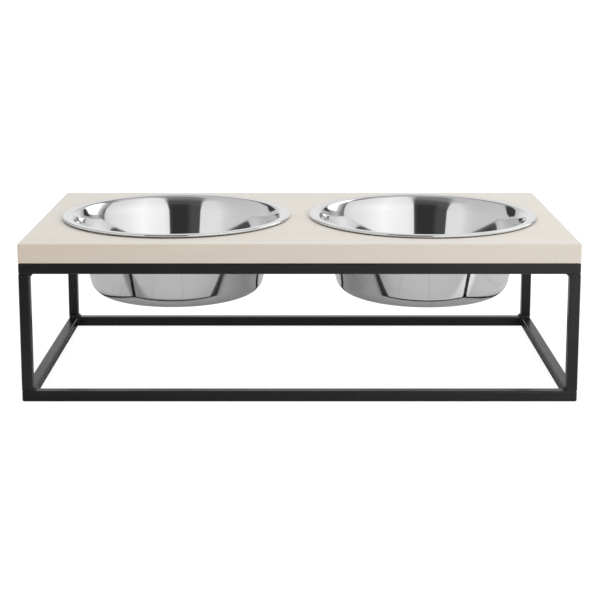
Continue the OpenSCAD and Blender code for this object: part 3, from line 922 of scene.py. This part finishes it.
def room_level(az, el):
    a, e = math.radians(az), math.radians(el)
    x, y, z = math.cos(e) * math.sin(a), -math.cos(e) * math.cos(a), math.sin(e)
    sweep = math.degrees(math.atan2(max(z, 0.0), -y))
    lateral = math.degrees(math.asin(max(-1.0, min(1.0, x))))
    if az >= 0:
        wall = table(az, RIGHT_WALL) * table(el, RIGHT_UP)
        if az > 100:
            # the window's surround, lighter towards the glass, the window, its sill, and the dark strip behind it
            near, far, side = table(el, WINDOW_NEAR), table(el, WINDOW_FAR), table(el, SIDE_EDGE)
            t = min(1.0, max(0.0, (az - side - 1.0) / (near - side - 1.0)))
            surround = 0.15 + 0.12 * ease(el, 24, 34) + (0.78 - 0.25 * ease(el, 38, 46)) * t ** 1.2
            low, high = ease(el, 13.4, 15.4), ease(el, 43.5, 47.5)
            above = 0.30 + 0.32 * ease(el, 52, 60)
            surround = (surround * low + table(az, SILL) * (1 - low)) * (1 - high) + above * high
            glass = 1.9 * low * (1 - high) + table(az, SILL) * (1 - low) + above * high
            k = ease(az, near - 1.2, near + 1.0)
            beyond = 0.52 + 0.34 * ease(az, 149, 163)
            strip_low = ease(el, 9.0, 11.0) * (1 - ease(el, 21, 25)) * (1 - ease(az, 147.5, 149.5))
            beyond = (beyond * (1 - strip_low) + 0.05 * strip_low) * (1 - high) + above * high
            room = surround * (1 - k) + glass * k
            k = ease(az, far - 3.2, far + 2.6)
            room = room * (1 - k) + beyond * k
            soft = 0.7 + 1.3 * ease(el, 26, 40)
            k = ease(az, side - soft, side + soft) * (1 - ease(el, 56, 64))
            wall = wall * (1 - k) + room * k
    else:
        wall = table(az, LEFT_WALL) * table(el, LEFT_UP)
        if az > -70:
            top = ease(el, 41, 50)
            wall = wall * (1 - top) + 0.60 * top
        lo, hi = table(el, STRIP_LO), table(el, STRIP_HI)
        soft = 0.6 + 3.0 * ease(el, 22, 34)
        k = ease(az, lo - soft, lo + soft) * (1 - ease(az, hi - soft, hi + soft)) * ease(el, 9.5, 11.5) * (1 - ease(el, 36, 44))
        wall = wall * (1 - k) + (0.05 + 0.06 * ease(el, 26, 36)) * k
    # the back wall, low and high
    back = ease(abs(az), 152, 166) if az > 0 or el > 40 else ease(abs(az), 152 + 12 * ease(el, 24, 34), 166 + 8 * ease(el, 24, 34))
    v = wall * (1 - back) + table(el, BACK) * back
    # overhead
    over = ease(el, 62, 80)
    v = v * (1 - over) + (0.66 if lateral < 0 else 0.80) * over
    # the dark gap in front, open between the two screens and closing overhead
    soft = 0.5 + 0.8 * ease(sweep, 34, 44) + 4.2 * ease(sweep, 44, 66)
    inside = ease(lateral, table(sweep, GAP_LEFT) - soft, table(sweep, GAP_LEFT) + soft) * (1 - ease(lateral, 9.9 - soft, 9.9 + soft))
    inside *= 1 - ease(sweep, 104, 124)
    dark = table(sweep, GAP) + 0.045 * (1 - ease(lateral, -20, -12)) * (1 - ease(sweep, 34, 50)) + 0.05 * ease(lateral, 6.5, 9.5)
    return v * (1 - inside) + dark * inside


def studio_room():
    azs = {float(a) for a in range(-180, 181, 3)}
    azs |= {-148.0, -147.4, -146.8, -146.2, -139.4, -138.7, 105.3, 106.0, 106.8, -32.5, -31.9, -31.6, -31.2, -30.8, -30.3, -29.7, -29.1, -28.5}
    azs |= {9.4, 9.8, 10.1, 10.4, 10.8, 11.3, 12.5, 13.5, 14.5, 147.5, 148.5, 149.5}
    azs |= {100.5 + 0.8 * k for k in range(28)} | {132.0 + 1.0 * k for k in range(34)} | {-50.0 + 1.0 * k for k in range(28)}
    azs |= {-170.0 + 1.5 * k for k in range(14)} | {-149.5 + 0.7 * k for k in range(34)}
    azs = sorted(azs)
    els = [-4.5, 0, 4, 8, 9, 10, 11, 12, 12.6, 13.1, 13.6, 14.2, 15, 16.5, 18, 19.5, 21, 22.5, 24, 26, 28, 30, 32, 34, 36, 38, 40, 41, 42, 43, 44]
    els += [46 + 2 * k for k in range(22)] + [89.5]
    verts, level, faces = [], [], []
    for el in els:
        for az in azs:
            a, e, r = math.radians(az), math.radians(el), table(az, REACH)
            r = r + (1.98 - r) * ease(el, 35, 70)
            verts.append((r * math.cos(e) * math.sin(a), -r * math.cos(e) * math.cos(a), 0.14 + r * math.sin(e)))
            level.append(room_level(az, max(el, 0.0)))
    n = len(azs)
    for i in range(len(els) - 1):
        for j in range(n - 1):
            k = i * n + j
            faces.append((k, k + 1, k + n + 1, k + n))
    glowing("studio_room_mirrored", verts, faces, level)


studio_room()


# white for the camera, an even soft light for matt surfaces
world = bpy.data.worlds.new("studio")
bpy.context.scene.world = world
world.use_nodes = True
world.cycles.sampling_method = "NONE"
wt = world.node_tree
wt.nodes.clear()
wout = wt.nodes.new("ShaderNodeOutputWorld")
path_node = put(wt, "LightPath")
bg_matt = put(wt, "Background", {"Color": rgb(1.0, 1.0, 1.0), "Strength": 0.90})
bg_room = put(wt, "Background", {"Color": rgb(1.0, 1.0, 1.0), "Strength": 0.50})
bg_view = put(wt, "Background", {"Color": rgb(1.0, 1.0, 1.0), "Strength": 1.0})
mix_a = put(wt, "MixShader", {0: path_node.outputs["Is Glossy Ray"], 1: bg_matt.outputs[0], 2: bg_room.outputs[0]})
mix_b = put(wt, "MixShader", {0: path_node.outputs["Is Camera Ray"], 1: mix_a.outputs[0], 2: bg_view.outputs[0]})
wt.links.new(mix_b.outputs[0], wout.inputs[0])


def softbox(name, at, aim, size, power):
    lamp = bpy.data.lights.new(name, "AREA")
    lamp.shape = "RECTANGLE"
    lamp.size, lamp.size_y = size
    lamp.energy = power
    ob = bpy.data.objects.new(name, lamp)
    bpy.context.scene.collection.objects.link(ob)
    ob.location = at
    ob.rotation_euler = (Vector(aim) - Vector(at)).to_track_quat("-Z", "Y").to_euler()
    ob.visible_camera = False
    ob.visible_glossy = False
    return ob


softbox("softbox_right", (1.25, -0.95, 0.85), (0.1, 0, 0.10), (1.1, 0.9), 7.8)
softbox("softbox_top", (0.1, 0.1, 1.7), (0, 0, 0.1), (1.6, 1.2), 7.0)

cam_data = bpy.data.cameras.new("camera")
cam = bpy.data.objects.new("camera", cam_data)
bpy.context.scene.collection.objects.link(cam)
cam_data.sensor_width = 36.0
cam_data.lens = 82.55
cam_data.shift_x = 0.0
cam_data.shift_y = -0.2
cam_data.clip_start, cam_data.clip_end = 0.05, 200.0
cam.location = (0.00039, -1.3511, 0.4050)
cam.rotation_euler = (math.radians(90 - 9.274), 0, 0)
bpy.context.scene.camera = cam
bpy.context.scene.view_settings.view_transform = "Standard"
bpy.context.scene.view_settings.look = "None"
